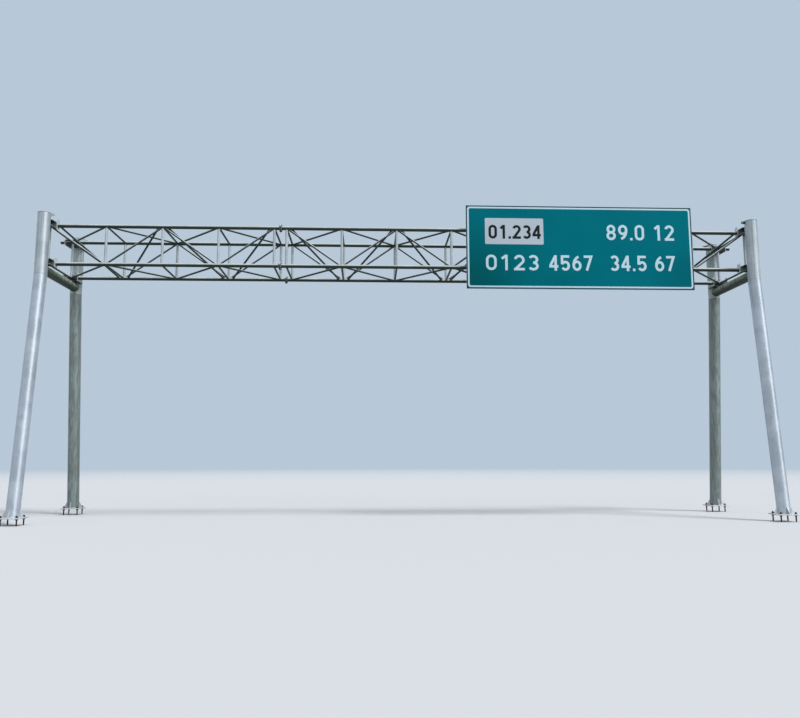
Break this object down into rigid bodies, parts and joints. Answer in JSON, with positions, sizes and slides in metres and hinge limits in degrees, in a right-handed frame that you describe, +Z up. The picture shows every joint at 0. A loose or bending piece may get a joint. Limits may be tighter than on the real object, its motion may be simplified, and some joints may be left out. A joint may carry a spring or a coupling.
{
  "type": "overhead sign gantry",
  "caption": "Lattice box-truss gantry on splayed tubular leg pairs, carrying a wide road sign panel over a roadway.",
  "frame": {"origin": "middle of the gantry's bounding box at ground level, where the anchor studs enter the foundation", "axes": "+X along the truss, to the right for a driver facing the sign; +Y away from that driver; +Z up"},
  "size_m": [21.698, 4.754, 9.312],
  "materials": {
    "leg_steel": "galvanised",
    "truss_steel": "galvanised",
    "clamp_steel": "galvanised",
    "bright_bolts": "zinc",
    "dark_bolts": "black",
    "sign_face": "retroreflective",
    "sign_frame": "mill"
  },
  "bodies": {
    "root": {"leg_front_left": "leg_steel", "base_plate_front_left": "leg_steel", "anchor_bolts_front_left": "dark_bolts", "chord_clamps_front_left": "clamp_steel", "clamp_u_bolts_front_left": "bright_bolts", "leg_rear_left": "leg_steel", "base_plate_rear_left": "leg_steel", "anchor_bolts_rear_left": "dark_bolts", "chord_clamps_rear_left": "clamp_steel", "clamp_u_bolts_rear_left": "bright_bolts", "cross_tube_left": "leg_steel", "leg_front_right": "leg_steel", "base_plate_front_right": "leg_steel", "anchor_bolts_front_right": "dark_bolts", "chord_clamps_front_right": "clamp_steel", "clamp_u_bolts_front_right": "bright_bolts", "leg_rear_right": "leg_steel", "base_plate_rear_right": "leg_steel", "anchor_bolts_rear_right": "dark_bolts", "chord_clamps_rear_right": "clamp_steel", "clamp_u_bolts_rear_right": "bright_bolts", "cross_tube_right": "leg_steel", "truss_front_left": "truss_steel", "truss_rear_left": "truss_steel", "top_bracing_left": "truss_steel", "bottom_bracing_left": "truss_steel", "inner_bracing_left": "truss_steel", "truss_front_middle": "truss_steel", "truss_rear_middle": "truss_steel", "top_bracing_middle": "truss_steel", "bottom_bracing_middle": "truss_steel", "inner_bracing_middle": "truss_steel", "truss_front_right": "truss_steel", "truss_rear_right": "truss_steel", "top_bracing_right": "truss_steel", "bottom_bracing_right": "truss_steel", "inner_bracing_right": "truss_steel", "sign_panel": "sign_face", "sign_edge_frame": "sign_frame", "sign_ribs": "sign_frame", "sign_posts": "truss_steel", "sign_saddle_plates": "truss_steel", "sign_u_bolts": "bright_bolts"}
  },
  "joints": []
}
